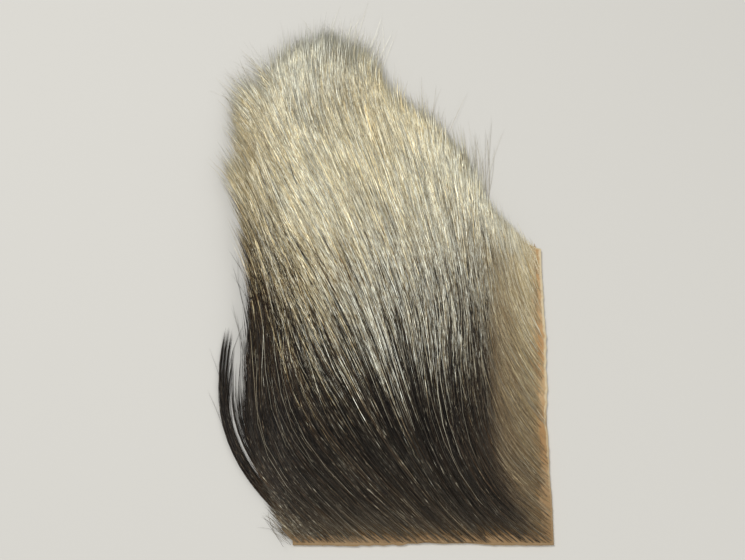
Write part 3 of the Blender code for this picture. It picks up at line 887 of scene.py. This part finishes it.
def long_hair(rng, place, root, points, begin=0.0):
    """Lines of hairs from their roots: along the combed lines for a hair's length, drawn towards the middle
    of the lock and off to one side by amounts that grow with the distance from the root. The root end of each
    lies deep in the pile and its tip on top, over the hairs that grow in front of it. At the rim of the coat
    the locks gather into wider tufts that reach unevenly far. Where begin is more than 0, the first share of
    each hair, which lies inside the undercoat, isn't made."""
    lock, middle = lock_of(place, root, LOCK_WIDTH, LOCK_LENGTH)
    lock_side, lock_late = rng.normal(0.0, 1.0, (2, LOCK_NUMBERS))[:, lock]
    tuft, tuft_middle = lock_of(place, root, TUFT_WIDTH, TUFT_LENGTH)
    tuft_side, tuft_over = rng.normal(0.0, 1.0, (2, LOCK_NUMBERS))[:, tuft]
    reach = reach_at(place)
    chance = rng.uniform(0.0, 1.0, len(place))
    over = 2.5 + 1.5 * tuft_over - 13.0 * rng.uniform(0.0, 1.0, len(place)) ** 1.3
    over = over + np.where(chance < LONG_TIP_SHARE, rng.uniform(2.0, 9.0, len(place)), 0.0)
    ragged = 0.3 + 0.7 * smooth_step((on_line(place, reach)[1] - 64.0) / 40.0)
    over = over * ragged
    start_x, start_y = on_line(place, root)
    strip = in_strip(start_x, start_y)
    at_far_edge = smooth_step((root - np.interp(place, line_places, skin_walk) + 28.0) / 28.0)
    length = HAIR_LENGTH + rng.normal(0.0, 3.0, len(place)) + 10.0 * at_far_edge
    length = length * (1.0 - 0.4 * strip * (1.0 - 0.5 * at_far_edge))
    length = np.minimum(length, reach + over - root)
    kept = length > SHORTEST_HAIR
    picked = (place, root, length, middle, reach, strip, ragged, lock_side, lock_late)
    place, root, length, middle, reach, strip, ragged, lock_side, lock_late = [one[kept] for one in picked]
    tuft_middle, tuft_side = tuft_middle[kept], tuft_side[kept]
    count = len(place)
    share = np.linspace(begin, 1.0, points)[None, :]
    walked = root[:, None] + length[:, None] * share
    gather = rng.uniform(0.0, 0.1, count)[:, None] * share
    at_rim = ragged * smooth_step((root + length - reach + 16.0) / 14.0)
    tufted = (at_rim * rng.uniform(0.2, 0.75, count))[:, None] * share**2
    drawn = (middle - place)[:, None] * gather + (tuft_middle - place)[:, None] * tufted
    x, y = on_line(place[:, None] + drawn, walked)
    stray = rng.normal(0.0, 1.9, count) * (0.4 + 0.6 * ragged) + 0.15 * lock_side + 1.1 * tuft_side * at_rim
    sway = np.minimum(length / FULL_SWAY_LENGTH, 1.0)
    stray = stray * sway
    bow = rng.normal(0.0, 0.4, count)[:, None] * np.sin(np.pi * share) * sway[:, None]
    x, y = beside(x, y, stray[:, None] * share**1.6 + bow + rng.normal(0.0, 0.04, (count, points)) * share)
    late = rng.normal(3.5, 15.0, count) - 28.0 * rng.uniform(0.0, 1.0, count) ** 3 + 0.3 * lock_late
    kind = rng.uniform(0.0, 1.0, count)
    guard = kind < GUARD_SHARE
    late = late - np.where(guard, 45.0, 0.0) + np.where(kind > LATE_KIND_FROM, 25.0, 0.0)
    early = smooth_step((-late - 10.0) / 24.0)
    layer = np.where(guard, 0.9, 0.66 + rng.uniform(-0.09, 0.09, count) - 0.04 * strip)
    waver = rng.normal(0.0, 0.015, (count, points))
    lifted = np.minimum(layer[:, None] + 0.34 * share + waver, 1.03)
    lifted = lifted * smooth_step(length[:, None] * share / 9.0) ** 0.7
    height = pile_at(x, y, reach[:, None] + 3.0 - walked) * lifted
    at_edge = 1.0 - smooth_step((root - 4.0) / 6.0)
    bed = wool_depth(np.broadcast_to(place[:, None], walked.shape), walked, x, y)
    z = floor_under(x, y) + np.maximum(height, bed * at_edge[:, None]) + 0.14
    if begin > 0.0:
        z[:, 0] = np.maximum(z[:, 0] - BURIED, 0.2)
    own_strip = np.clip(strip + rng.normal(0.0, 0.12, count), 0.0, 1.0)[:, None]
    shown_strip = 0.75 * in_strip(x, y) + 0.25 * own_strip
    pale = paleness(x, y, late[:, None], rng.uniform(4.0, 12.0, count)[:, None], shown_strip)
    pale = pale + 0.18 * rng.uniform(0.0, 1.0, count)[:, None] ** 2.5 * (1.0 - pale)
    pale = pale * (1.0 - 0.38 * early[:, None] * (1.0 - smooth_step((y - 26.0) / 22.0)))
    pale = pale + 0.03 * rng.normal(0.0, 1.0, count)[:, None] * (1.0 - smooth_step(y / 40.0))
    pale = pale - 0.1 * shown_strip * (kind > STRIP_DARK_FROM)[:, None]
    # Paler tips at the rim of the coat: partly the hair's own whiter tips, partly painted light against the
    # shade where the rim lies low over the table
    pale_and_lit_rim = at_rim[:, None] * share**3 * smooth_step((pale - 0.4) / 0.3)
    gold = by_place(GOLD_X, GOLD_BY_Y, x, y) + (rng.normal(0.0, 0.3, count) - 0.6 * guard)[:, None]
    tone = np.clip(rng.normal(1.0, 0.29, count), 0.4, 1.7)
    even = np.maximum(shown_strip, pale_and_lit_rim)
    far = smooth_step((y - 62.0) / 28.0)
    # Each hair's flecks of painted shade and painted light are weaker where it is even, at the far end and on
    # guard hairs
    values = {
        "pale": np.clip(pale * rng.uniform(0.8, 1.16, count)[:, None] + 0.4 * pale_and_lit_rim, 0.0, 1.0),
        "gold": np.clip(gold + 0.4 * shown_strip * (1.0 - smooth_step((y - 50.0) / 30.0)), 0.0, 1.0),
        "tone": 1.0 + (tone[:, None] - 1.0) * (1.0 - 0.8 * even) * (1.0 + 0.25 * far),
        "shade_flecked": (1.0 - 0.8 * even) * (1.0 - 0.35 * far) * np.where(guard, 0.3, 1.0)[:, None],
    }
    from_edge = np.minimum(-past_side(x, y, 0), -past_side(x, y, 1))
    slim = (0.3 + 0.7 * smooth_step(from_edge / 9.0)) * (1.0 - 0.45 * shown_strip)
    width = (rng.uniform(0.075, 0.135, count) * np.where(guard, 0.42, 1.0 - 0.5 * early))[:, None] * slim
    radius = width * (0.8 + 0.35 * np.sin(np.pi * np.clip(share * 1.2, 0.0, 1.0))) * (1.0 - share**4) ** 0.6
    return np.stack([x, y, z], axis=-1), radius, values


def in_pieces(name, line, radius, material, values, count):
    """Hairs dealt out over pieces of about the same size."""
    for index, group in enumerate(np.array_split(np.arange(len(line)), count)):
        picked = {key: value[group] for key, value in values.items()}
        strands(f"{name}_{index + 1}", line[group], radius[group], material, picked)


ROOTS_DRAWN = 70000
NEAR_HAIRS = 9500
NEAR_POINTS = 7
FAR_HAIRS = 25500
FAR_POINTS = 4
NEAR_ROOTS_END = 38.0
FAR_BEGIN = 0.32  # the share of each far hair that lies inside the undercoat and isn't made
long_finish = hair_finish()
at_far_edge = smooth_step((walks[None, :] - skin_walk[:, None] + 30.0) / 25.0)
at_roots = smooth_step(walks[None, :] / 9.0)
at_left_corner = 1.0 - smooth_step((line_places[:, None] - 4.0) / 14.0)
thickness = (1.0 + 2.2 * at_far_edge) * (0.05 + 0.95 * at_roots) * (1.0 + 3.0 * at_left_corner)
thickness = thickness * (1.0 - 0.62 * in_strip(combed[..., 0] - 5.0, combed[..., 1]))
place, root = roots_by_area(hair_rng, ROOTS_DRAWN, thickness)
near = root < NEAR_ROOTS_END
near_place = place[near][:NEAR_HAIRS]
near_root = root[near][:NEAR_HAIRS]
line, radius, values = long_hair(hair_rng, near_place, near_root, NEAR_POINTS)
in_pieces("near_hair", line, radius, long_finish, values, 2)
far_place = place[~near][:FAR_HAIRS]
far_root = root[~near][:FAR_HAIRS]
line, radius, values = long_hair(hair_rng, far_place, far_root, FAR_POINTS, FAR_BEGIN)
in_pieces("far_hair", line, radius, long_finish, values, 3)

# The down: short fine hair that lies flat on the undercoat where the coat is thin, along the near edge of
# the skin and all over the right strip.
DOWN_HAIRS = 8500
DOWN_POINTS = 4
# How strongly the down gets the flecks of painted shade and painted light
DOWN_SHADE_FLECKED = 0.35


def down_hair(rng, place, root):
    """Lines of short hairs from their roots, close on the undercoat."""
    count = len(place)
    length = np.minimum(rng.uniform(9.0, 19.0, count), reach_at(place) + rng.uniform(-2.0, 2.0, count) - root)
    length = np.maximum(length, 3.0)
    share = np.linspace(0.0, 1.0, DOWN_POINTS)[None, :]
    walked = root[:, None] + length[:, None] * share
    places = np.broadcast_to(place[:, None], walked.shape)
    x, y = on_line(places, walked)
    depth = wool_depth(places, walked, x, y)
    x, y = beside(x, y, rng.normal(0.0, 0.6, count)[:, None] * share)
    z = floor_under(x, y) + 1.1 * depth + rng.uniform(0.04, 0.3, count)[:, None] * smooth_step(share * 3.0)
    pale = paleness(x, y, 0.0, 10.0, in_strip(x, y)) + rng.normal(0.0, 0.1, count)[:, None]
    values = {
        "pale": np.clip(pale, 0.0, 1.0),
        "gold": np.clip(rng.normal(0.2, 0.2, count)[:, None] + 0.4 * in_strip(x, y), 0.0, 1.0),
        "tone": np.repeat(np.clip(rng.normal(1.0, 0.1, count), 0.7, 1.3)[:, None], DOWN_POINTS, axis=1),
        "shade_flecked": np.full(x.shape, DOWN_SHADE_FLECKED),
    }
    radius = rng.uniform(0.035, 0.055, count)[:, None] * (1.0 - share**3) ** 0.7
    return np.stack([x, y, z], axis=-1), radius, values


from_near = -past_side(combed[..., 0], combed[..., 1], 0)
from_right = -past_side(combed[..., 0], combed[..., 1], 1)
in_band = 0.32 * np.exp(-from_near / 7.0)
in_right_strip = in_strip(combed[..., 0], combed[..., 1]) * (0.12 + 0.88 * smooth_step(from_right / 9.0))
thickness = np.maximum(in_band, in_right_strip)
line, radius, values = down_hair(hair_rng, *roots_by_area(hair_rng, DOWN_HAIRS, thickness))
strands("down", line, radius, long_finish, values)

# The side lock: a dark lock that has parted from the rest at the near left corner and lies on the table by
# itself, with a few single hairs in the gap between.
SIDE_LOCK_HAIRS = 380
GAP_HAIRS = 20
SIDE_LOCK_POINTS = 9
LOCK_START = (-31.5, 6.4)
LOCK_WHOLE = 24.0
LOCK_LINE_LENGTH = 60.0
LOCK_LINE_STEP = 0.25
LOCK_LEANS = (
    # distance along the lock, lean
    (0.0, 50.0),
    (6.0, 45.0),
    (12.0, 39.0),
    (18.0, 31.0),
    (25.0, 21.0),
    (32.0, 10.0),
    (40.0, 0.0),
    (52.0, -6.0),
)


def lock_line(along):
    """The middle line of the side lock at distances along it, and its heading."""
    steps = np.arange(0.0, LOCK_LINE_LENGTH + LOCK_LINE_STEP / 2, LOCK_LINE_STEP)
    lean = np.radians(from_rows(LOCK_LEANS, steps))
    x = LOCK_START[0] - np.cumsum(np.sin(lean)) * LOCK_LINE_STEP
    y = LOCK_START[1] + np.cumsum(np.cos(lean)) * LOCK_LINE_STEP
    lean = np.interp(along, steps, lean)
    return np.interp(along, steps, x), np.interp(along, steps, y), -np.sin(lean), np.cos(lean)


def side_lock(rng, count, offset, tip_offset, begin, end):
    """Hairs that run beside the lock's middle line, each offset to the right by its own amount where the lock
    is whole and by another where it is frayed."""
    share = np.linspace(0.0, 1.0, SIDE_LOCK_POINTS)[None, :]
    along = begin[:, None] + (end - begin)[:, None] * share
    x, y, heading_x, heading_y = lock_line(along)
    frayed = smooth_step((along - LOCK_WHOLE) / 18.0)
    spread = offset[:, None] * (1.0 - frayed) + tip_offset[:, None] * frayed
    x = x + spread * heading_y
    y = y - spread * heading_x
    rise = rng.uniform(0.15, 1.7, count)[:, None] * (1.0 - 0.55 * share)
    z = floor_under(x, y) + 0.1 + rise
    at_root = 1.0 - smooth_step(along / 12.0)
    pale = np.clip(rng.normal(0.06, 0.06, count), 0.0, 0.4)[:, None] + 0.22 * at_root
    gold = rng.uniform(0.0, 0.8, count)[:, None]
    tone = np.clip(rng.normal(1.0, 0.15, count), 0.6, 1.4)[:, None]
    values = {
        "pale": pale,
        "gold": np.repeat(gold, SIDE_LOCK_POINTS, axis=1),
        "tone": np.repeat(tone, SIDE_LOCK_POINTS, axis=1),
        "shade_flecked": np.ones(x.shape),
    }
    radius = rng.uniform(0.06, 0.1, count)[:, None] * (1.0 - share**4) ** 0.6
    return np.stack([x, y, z], axis=-1), radius, values


LOCK_STRANDS = np.array([-0.9, -0.1, 0.8, 1.9])
STRAND_SHARES = (0.34, 0.3, 0.24, 0.12)
count = SIDE_LOCK_HAIRS
offset = np.clip(hair_rng.normal(0.0, 0.5, count), -1.1, 1.1)
strand = hair_rng.choice(len(LOCK_STRANDS), size=count, p=STRAND_SHARES)
tip_offset = LOCK_STRANDS[strand] + hair_rng.normal(0.0, 0.12, count)
lock_end = 26.0 + 26.0 * hair_rng.uniform(0.0, 1.0, count) ** 1.3 - 4.0 * (strand == 3)
lock_begin = hair_rng.uniform(0.0, 14.0, count)
line, radius, values = side_lock(hair_rng, count, offset, tip_offset, lock_begin, lock_end)
strands("side_lock", line, radius, long_finish, values)
count = GAP_HAIRS
offset = hair_rng.uniform(1.8, 5.2, count)
tip_offset = offset + hair_rng.normal(0.0, 0.4, count)
gap_begin = hair_rng.uniform(6.0, 14.0, count)
gap_end = hair_rng.uniform(30.0, 46.0, count)
line, radius, values = side_lock(hair_rng, count, offset, tip_offset, gap_begin, gap_end)
strands("hairs_between", line, radius, long_finish, values)

# Stray hairs: single hairs that have come away from the rest at the rim and lie over the table by themselves.
STRAY_POINTS = 6
STRAY_GROUPS = (
    # count, middle of their roots x and y, spread of the roots x and y, lean, length, paleness
    (30, (18.0, 88.0), (3.0, 6.0), 2.0, 24.0, 0.66),
    (12, (6.0, 108.0), (4.0, 5.0), -4.0, 18.0, 0.66),
    (34, (-22.0, 132.0), (9.0, 4.0), -3.0, 17.0, 0.9),
    (26, (-19.0, 137.0), (9.0, 3.0), -3.0, 17.0, 0.95),
    (14, (-43.0, 116.0), (4.0, 8.0), 40.0, 18.0, 0.7),
    (12, (-43.0, 62.0), (1.5, 9.0), 16.0, 15.0, 0.3),
    (8, (-43.0, 40.0), (1.5, 9.0), 8.0, 18.0, 0.12),
    (7, (-47.0, 28.0), (1.5, 8.0), 10.0, 18.0, 0.14),
    (36, (-31.3, 4.0), (1.2, 3.5), 44.0, 6.5, 0.34),
    (36, (-35.8, 11.5), (1.2, 4.0), 36.0, 6.5, 0.32),
)


def stray_hairs(rng):
    """Lines of single hairs, each with a small bow, that come down to the table towards their tips."""
    lines, radii, pales = [], [], []
    share = np.linspace(0.0, 1.0, STRAY_POINTS)[None, :]
    for count, middle, spread, lean, length, pale in STRAY_GROUPS:
        start = rng.normal(0.0, 0.6, (count, 2)) * spread + middle
        heading = np.radians(lean + rng.normal(0.0, 9.0, count))[:, None]
        heading = heading + rng.normal(0.0, 0.13, count)[:, None] * share
        walked = length * rng.uniform(0.6, 1.25, count)[:, None] * share
        x = start[:, :1] - walked * np.sin(heading)
        y = start[:, 1:] + walked * np.cos(heading)
        above = rng.uniform(0.3, 1.6, count)[:, None] * (1.0 - 0.6 * share)
        lines.append(np.stack([x, y, floor_under(x, y) + above], axis=-1))
        radii.append(rng.uniform(0.03, 0.05, count)[:, None] * (1.0 - share**3) ** 0.6)
        own_pale = np.clip(rng.normal(pale, 0.08, count), 0.0, 1.0)
        pales.append(np.repeat(own_pale[:, None], STRAY_POINTS, axis=1))
    line = np.concatenate(lines)
    pale = np.concatenate(pales)
    values = {
        "pale": pale,
        "gold": np.full(pale.shape, 0.2),
        "tone": np.ones(pale.shape),
        "shade_flecked": np.full(pale.shape, 0.5),
    }
    return line, np.concatenate(radii), values


line, radius, values = stray_hairs(hair_rng)
strands("stray_hairs", line, radius, long_finish, values)

# The table top that it lies on, the studio light and the camera
FLOOR_HALF = 3.0
FLOOR_COLOUR = (184, 182, 176)
floor_mesh = bpy.data.meshes.new("table_top")
floor_points = [
    (-FLOOR_HALF, -FLOOR_HALF, 0.0),
    (FLOOR_HALF, -FLOOR_HALF, 0.0),
    (FLOOR_HALF, FLOOR_HALF, 0.0),
    (-FLOOR_HALF, FLOOR_HALF, 0.0),
]
floor_mesh.from_pydata(floor_points, [], [(0, 1, 2, 3)])
floor = bpy.data.objects.new("table_top", floor_mesh)
bpy.context.scene.collection.objects.link(floor)
floor_paint, _, floor_shader = nodes_of("pale_floor")
floor_shader.inputs["Base Color"].default_value = linear(*FLOOR_COLOUR)
floor_shader.inputs["Roughness"].default_value = 0.75
floor_mesh.materials.append(floor_paint)


def soft_light(name, place, size, power):
    """A square soft box that faces the skin."""
    lamp = bpy.data.lights.new(name, "AREA")
    lamp.shape = "SQUARE"
    lamp.size = size
    lamp.energy = power
    made = bpy.data.objects.new(name, lamp)
    made.location = place
    away = np.array(place) / np.linalg.norm(place)
    made.rotation_euler = (np.arccos(away[2]), 0.0, np.arctan2(away[1], away[0]) + np.pi / 2)
    bpy.context.scene.collection.objects.link(made)


soft_light("key", place=(-0.28, 0.2, 0.8), size=0.3, power=6.0)
soft_light("fill", place=(0.55, -0.5, 0.6), size=0.6, power=4.2)
ROOM_LIGHT = 0.44
world = bpy.data.worlds.new("room")
world.use_nodes = True
world.node_tree.nodes["Background"].inputs["Color"].default_value = (1.0, 1.0, 1.0, 1.0)
world.node_tree.nodes["Background"].inputs["Strength"].default_value = ROOM_LIGHT
bpy.context.scene.world = world
bpy.context.scene.view_settings.view_transform = "Standard"

CAMERA_RISE = np.radians(68.0)
CAMERA_AWAY = 0.192
CAMERA_AIM = (-11.65, 66.0, 0.0)
SENSOR_WIDTH = 36.0
PHOTO_WIDTH = 745.0
FOCAL_PIXELS = 725.0
target = in_place(CAMERA_AIM)
camera_data = bpy.data.cameras.new("camera")
camera_data.sensor_width = SENSOR_WIDTH
camera_data.lens = SENSOR_WIDTH * FOCAL_PIXELS / PHOTO_WIDTH
camera_data.clip_start = 0.01
camera = bpy.data.objects.new("camera", camera_data)
camera.location = target + CAMERA_AWAY * np.array([0.0, -np.cos(CAMERA_RISE), np.sin(CAMERA_RISE)])
camera.rotation_euler = (np.pi / 2 - CAMERA_RISE, 0.0, 0.0)
bpy.context.scene.collection.objects.link(camera)
bpy.context.scene.camera = camera
